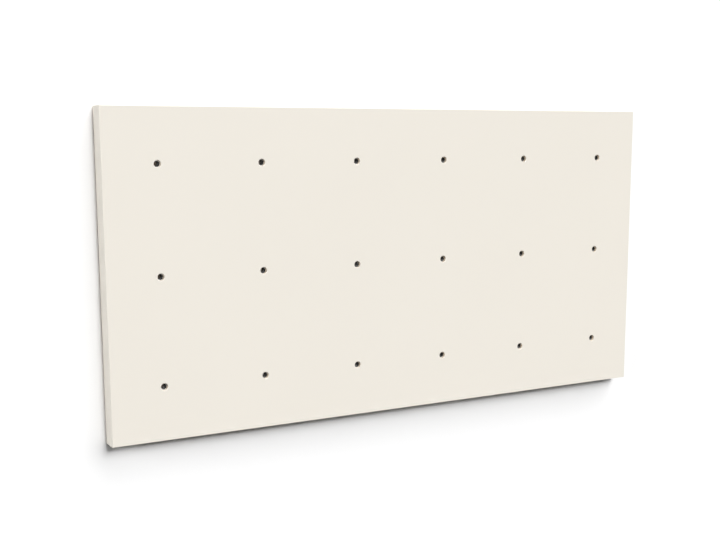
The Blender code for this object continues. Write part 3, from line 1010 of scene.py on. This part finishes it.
# %% Wall hooks
for level in LEVELS:
    node = f"{level}_wall_hook"
    box = outline_of(node)
    shelf = box["top"] - LIP_HEIGHT
    lip_back = box["front"] + PLATE
    hook = add_block("fine_" + node, **dict(box, front=-PLATE, back=0, top=shelf))
    with editing(hook):
        slice_at(shelf - PLATE, UPWARD)
        pull_out(hook, lambda middle, normal: normal.y < -SQUARE and middle.z > shelf - PLATE,
                 lip_back * BACKWARD)
        slice_at(lip_back, BACKWARD)
        pull_out(hook, lambda middle, normal: normal.z > SQUARE and middle.y < lip_back,
                 LIP_HEIGHT * UPWARD)
    finish_hook(hook, node, add_wall_drills(box["bottom"] + WALL_HOLE_UP))

# %% [markdown]
# The panel hook is the same idea turned over. Its plate lies in the rebate, the lowest 3 mm of its
# back face is pulled back into the step, and the rear part of the step's underside is pulled down.

# %% Panel hooks
PANEL_PLATE_HEIGHT = 22.0 * MM

for level in LEVELS:
    node = f"{level}_panel_hook"
    box = outline_of(node)
    step = box["top"] - PANEL_PLATE_HEIGHT
    plate_back, lip_front = box["front"] + PLATE, box["back"] - PLATE
    hook = add_block("fine_" + node, **dict(box, back=plate_back, bottom=step))
    with editing(hook):
        slice_at(step + PLATE, UPWARD)
        pull_out(hook, lambda middle, normal: normal.y > SQUARE and middle.z < step + PLATE,
                 (box["back"] - plate_back) * BACKWARD)
        slice_at(lip_front, BACKWARD)
        pull_out(hook, lambda middle, normal: normal.z < -SQUARE and middle.y > lip_front,
                 (box["bottom"] - step) * UPWARD)
    finish_hook(hook, node, add_screw_drills(HOOK_SCREWS))

# %% [markdown]
# A screw thread is one profile carried round and along the axis. The profile is a chain of edges,
# as long as one pitch: a plane merged to a single point, then pulled out from point to point. The
# Screw modifier winds it round the axis. Each turn ends on the start of the next, so the turns are
# merged where they touch, and a bisect with fill at each end closes the rod. The winding starts an
# odd part of a turn early, so that no corner of the thread lies right on a bisecting plane.

# %% Helpers for threads
EARLY_TURNS, SPARE_TURNS = 1.37, 3


def add_chain(name, points):
    """A chain of edges through the points."""
    chain = settle(add(name, bpy.ops.mesh.primitive_plane_add, size=1 * MM))
    with editing(chain):
        bpy.ops.mesh.select_mode(type="VERT")
        bpy.ops.mesh.select_all(action="SELECT")
        bpy.ops.mesh.merge(type="CENTER")
        bpy.ops.mesh.select_all(action="SELECT")
        bpy.ops.transform.translate(value=points[0])
        for last, point in zip(points, points[1:]):
            bpy.ops.mesh.extrude_vertices_move(TRANSFORM_OT_translate={"value": point - last})
    return chain


def add_thread(name, profile, front, back, steps):
    """A threaded rod along Y. The profile lists a place along the pitch and a radius."""
    pitch = profile[-1][0]
    start = front - EARLY_TURNS * pitch
    thread = add_chain(name, [Vector((radius, start + along, 0)) for along, radius in profile])
    turns = int((back - front) / pitch) + SPARE_TURNS
    apply_modifier(thread, "SCREW", axis="Y", angle=2 * pi, screw_offset=pitch, iterations=turns,
                   steps=steps, render_steps=steps)
    merge_close(thread)
    with editing(thread):
        for place, keep_back in ((front, True), (back, False)):
            bpy.ops.mesh.select_all(action="SELECT")
            bpy.ops.mesh.bisect(
                plane_co=(0, place, 0), plane_no=(0, 1, 0), threshold=MERGED, use_fill=True,
                clear_inner=keep_back, clear_outer=not keep_back)
        bpy.ops.mesh.select_all(action="SELECT")
        bpy.ops.mesh.normals_make_consistent(inside=False)
    print(name, "with", len(thread.data.polygons), "faces")
    return thread


# %% [markdown]
# The insert is a T-nut: a threaded barrel on a round flange, with four prongs bent down out of the
# flange's rim. It starts as the flange, a thin disc. Insetting its front face leaves the barrel's
# circle, which is pulled forward to the barrel's length. The rims are bevelled while the shape is
# still simple, because the cuts that follow would break the rings up.

# %% Insert: flange and barrel
FLANGE_RADIUS, BARREL_RADIUS = 12.5 * MM, 6.2 * MM
BARREL_FRONT = outline_of(T_NUTS[0])["front"]
SEATED = BOARD["back"] + 0.04 * MM
INSERT_SIDES = 48
RIMS = ((FLANGE_BACK, FLANGE_RADIUS, 0.35 * MM), (SEATED, FLANGE_RADIUS, 0.20 * MM),
        (BARREL_FRONT, BARREL_RADIUS, 0.20 * MM), (SEATED, BARREL_RADIUS, 0.25 * MM))

insert = add_rod("insert", FLANGE_RADIUS, SEATED, FLANGE_BACK, sides=INSERT_SIDES)
with editing(insert):
    pick_faces(insert, lambda middle, normal: normal.y < -SQUARE)
    bpy.ops.mesh.inset(thickness=(FLANGE_RADIUS - BARREL_RADIUS) * cos(pi / INSERT_SIDES))
    pull((0, BARREL_FRONT - SEATED, 0))


def from_axis(point):
    """How far a point is from the Y axis."""
    return Vector((point.x, point.z)).length


for y, radius, width in RIMS:
    with editing(insert):
        pick_edges(insert, lambda *ends: all(
            abs(end.y - y) < TINY and abs(from_axis(end) - radius) < 10 * TINY for end in ends))
        bpy.ops.mesh.bevel(offset=width, segments=ROUND_STEPS)
print("flange and barrel with", len(insert.data.polygons), "faces")

# %% [markdown]
# Behind each prong the flange's rim has an open notch, the place that the prong's metal came from.
# The notches are four blocks cut away, and the prongs are the same wedges as the slots in the
# board, without the extra width. The bore comes after. Its front mouth is countersunk a little past
# the thread's full radius, so that a bolt finds its way in, and the back has a funnel, where the
# barrel was drawn out of the flat sheet.

# %% Insert: notches, prongs and bore
NOTCH_INNER, NOTCH_HALF_WIDTH = 10.0 * MM, 2.1 * MM
BORE_RADIUS, BORE_MOUTH = 4.25 * MM, 5.3 * MM
FUNNEL = ((-1.50, 0.0), (-0.90, 0.14), (-0.40, 0.45), (0.0, 1.10), (1.0, 2.7))

for turn in PRONG_TURNS:
    notch = add_block("notch", NOTCH_INNER, FLANGE_RADIUS + PAST, SEATED - PAST,
                      FLANGE_BACK + PAST, -NOTCH_HALF_WIDTH, NOTCH_HALF_WIDTH)
    notch.data.transform(Matrix.Rotation(turn, 4, "Y"))
    cut_with(insert, notch)
for turn in PRONG_TURNS:
    cut_with(insert, add_prong("prong", turn), operation="UNION")
cut_with(insert, add_turned("insert_bore", [
    (BARREL_FRONT - PAST, BORE_MOUTH + PAST), (BARREL_FRONT, BORE_MOUTH),
    (BARREL_FRONT + BORE_MOUTH - BORE_RADIUS, BORE_RADIUS),
    *((FLANGE_BACK + place * MM, BORE_RADIUS + wider * MM) for place, wider in FUNNEL)],
    sides=INSERT_SIDES))
print("notched, pronged and bored,", len(insert.data.polygons), "faces")

# %% [markdown]
# Last comes the M10 thread, with a pitch of 1.5 mm. Its grooves reach out to the bolt's full
# radius. The rod that cuts them is a little thinner than the bore at its roots, so that only the
# grooves touch metal. The bore's faces, but for its rear end, carry the tapped mark,
# where the finish paints them near black: oiled steel and painted shade of the deep bore. The
# finished insert is copied to the 18 holes, each copy with its own mesh.

# %% Insert: thread and copies
TAP_ROOT, TAP_CREST = 4.20 * MM, 5.0 * MM
TAP_PROFILE = [(0.0, TAP_ROOT), (0.42 * MM, TAP_ROOT), (0.88 * MM, TAP_CREST),
               (1.07 * MM, TAP_CREST), (1.5 * MM, TAP_ROOT)]
PLATED_END = 0.5 * MM

cut_with(insert, add_thread("insert_tap", TAP_PROFILE, BARREL_FRONT - PAST, FLANGE_BACK + PAST,
                            INSERT_SIDES))
# The mark is where the zinc finish paints the shade of the deep bore onto the tapped thread.
mark = insert.data.attributes.new("tapped", "FLOAT", "FACE")
for face, value in zip(insert.data.polygons, mark.data):
    in_bore = all(from_axis(insert.data.vertices[corner].co) < BORE_MOUTH + TINY
                  for corner in face.vertices)
    value.value = float(in_bore and face.center.y < FLANGE_BACK - PLATED_END)
dress_copies(insert, T_NUTS)

# %% [markdown]
# The screws are countersunk wood screws with a coarse thread that runs out to a point. A threaded
# rod is longer than needed, and intersecting it with a turned taper brings the thread to a point.
# The taper is a hair wider than the thread, because two surfaces in the same place confuse a
# Boolean. The head and the smooth neck below it are turned and joined on.

# %% Screw: thread, neck and head
ROOT_RADIUS = 1.25 * MM
NECK_RADIUS = 0.7 * SCREW_RADIUS
WOOD_PROFILE = [(0.0, ROOT_RADIUS), (1.0 * MM, ROOT_RADIUS), (1.38 * MM, SCREW_RADIUS),
                (1.42 * MM, SCREW_RADIUS), (1.8 * MM, ROOT_RADIUS)]
SCREW_SIDES, HEAD_SIDES = 24, 32
TAPER_RADIUS = SCREW_RADIUS + 0.08 * MM
HEAD_RIM = ((-0.16, -0.04), (-0.05, -0.06), (0.0, -0.20))
FRAME_SCREW_NECK, HOOK_SCREW_NECK = 9 * MM, 2 * MM


def add_screw(screws, neck):
    """One screw on the origin's axis, with a smooth neck of a given length under its head."""
    box = outline_of(screws[0])
    point, head = box["front"], box["back"]
    cone = head - HEAD_DEPTH
    screw = add_thread("screw", WOOD_PROFILE, point - PAST, cone - neck / 2, SCREW_SIDES)
    taper = [(point, POINT_RADIUS), (point + SCREW_POINT, TAPER_RADIUS), (head, TAPER_RADIUS)]
    cut_with(screw, add_turned("taper", taper, SCREW_SIDES), operation="INTERSECT")
    merge_close(screw)
    upper = [(cone - neck, ROOT_RADIUS - 0.05 * MM), (cone - neck * 0.8, NECK_RADIUS),
             (cone - 0.2 * MM, 0.72 * SCREW_RADIUS), (cone + 0.3 * MM, SCREW_RADIUS),
             *((head + place * MM, HEAD_RADIUS + wider * MM) for place, wider in HEAD_RIM)]
    cut_with(screw, add_turned("neck_and_head", upper, HEAD_SIDES), operation="UNION")
    return screw


print("thread of", WOOD_PROFILE[-1][0] / MM, "mm pitch,", SCREW_SIDES, "steps a turn")

# %% [markdown]
# The drive is a six lobed recess. A rod with twelve sides has every other edge pulled in towards
# the axis, which makes a star, and a bevel along the upright edges rounds it into lobes.

# %% Screw: recess and copies
RECESS_RADIUS, RECESS_DEPTH = 1.6 * MM, 1.4 * MM
RECESS_SIDES = 12
PULLED_IN, LOBE_ROUND = 0.72, 0.22 * MM


def at_even_side(corner):
    turn = Vector((1, 0)).angle_signed(Vector((corner.co.x, corner.co.z)))
    return round(turn / (2 * pi / RECESS_SIDES)) % 2 == 0


def add_recess(head):
    recess = add_rod("recess", RECESS_RADIUS, head - RECESS_DEPTH, head + PAST, RECESS_SIDES)
    with editing(recess):
        pick(recess, "VERT", at_even_side)
        bpy.ops.transform.resize(value=(PULLED_IN, 1, PULLED_IN), center_override=(0, head, 0))
        pick_edges(recess, lambda a, b: abs(a.y - b.y) > TINY)
        bpy.ops.mesh.bevel(offset=LOBE_ROUND, segments=2)
    return recess


for screws, neck in ((FRAME_SCREWS, FRAME_SCREW_NECK), (HOOK_SCREWS, HOOK_SCREW_NECK)):
    screw = add_screw(screws, neck)
    cut_with(screw, add_recess(outline_of(screws[0])["back"]))
    dress_copies(screw, screws)

# %% [markdown]
# The front lamps leave the panel's back in the shade of its own wall. Three lamps behind the wall
# light it softly for a look from there. Light linking lets them light only the panel's own pieces,
# and lets only those cast their shadows. They stand well to the side, so that none shines straight
# through a threaded bore. The light of the two strong ones isn't passed on: their bounces are off,
# and so is multiple importance sampling, by which stray rays would find them all the same. They
# also leave out the cream skin, which the front lamps and the white wall light already, and the
# hooks, which would mirror them as a glare. The weak low one lights every piece and bounces about
# behind the board, so that what is seen through the bores isn't quite black. Seen from above, the
# top strip would be burnt out, so two of the front lamps leave it out.

# %% Rear lamps
REAR_LAMPS = {
    "rear_right_lamp": {"turn": 50, "height": 14, "softness": 40, "strength": 1.5},
    "rear_low_lamp": {"turn": 5, "height": -56, "softness": 50, "strength": 0.3},
    "rear_left_lamp": {"turn": -50, "height": 18, "softness": 50, "strength": 2.4},
}
LEFT_OUT = ("cream_laminate", "cream_edging", "hook_aluminium")
NOT_ON_TOP = ("right_lamp", "high_lamp")

all_pieces = bpy.data.collections.new("all_pieces")
inner_pieces = bpy.data.collections.new("inner_pieces")
for node, piece in DRESSED.items():
    all_pieces.objects.link(piece)
    if SLOT_OF[node] not in LEFT_OUT:
        inner_pieces.objects.link(piece)
for name, setting in REAR_LAMPS.items():
    lamp = add_sun(name, REAR_SIDE, **setting)
    strong = name != "rear_low_lamp"
    lamp.light_linking.receiver_collection = inner_pieces if strong else all_pieces
    lamp.light_linking.blocker_collection = all_pieces
    if strong:
        lamp.data.cycles.max_bounces = 0
        lamp.data.cycles.use_multiple_importance_sampling = False

top_strip = bpy.data.collections.new("top_strip_left_out")
top_strip.objects.link(DRESSED["top_edge_band"])
top_strip.collection_objects[0].light_linking.link_state = "EXCLUDE"
for name in NOT_ON_TOP:
    bpy.data.objects[name].light_linking.receiver_collection = top_strip

# %% [markdown]
# Bare aluminium shows what it mirrors, and behind the panel that is a wall in deep shade. So a pale
# card stands behind each pair of hooks, as a photographer would place one. Only mirrored rays see
# it: it casts no shadow, gives no light to matt surfaces, and isn't in the picture.

# %% Cards behind the hooks
CARD_MARGIN = 10 * MM
CARD_STRENGTH = 0.75
CARD_PLACE = BEHIND_HOOKS / 2

card_glow = new_material("card_glow", {
    "Base Color": BLACK, "Emission Color": SURROUND_PALE, "Emission Strength": CARD_STRENGTH})
for level in LEVELS:
    low = outline_of(f"{level}_wall_hook")["bottom"] - CARD_MARGIN
    high = outline_of(f"{level}_panel_hook")["top"] + CARD_MARGIN
    middle = (0, CARD_PLACE, (low + high) / 2)
    card = add_plane(f"{level}_card", 1, middle, pi / 2, card_glow)
    bpy.ops.transform.resize(value=(SHEET["right"] - SHEET["left"], 1, high - low),
                             center_override=middle)
    card.visible_camera = card.visible_diffuse = False
    card.visible_transmission = card.visible_shadow = False
    print(card.name, "from", round(low, 3), "to", round(high, 3), "m")

# %% [markdown]
# The last cell only loads the json module.

# %% Last step
import json
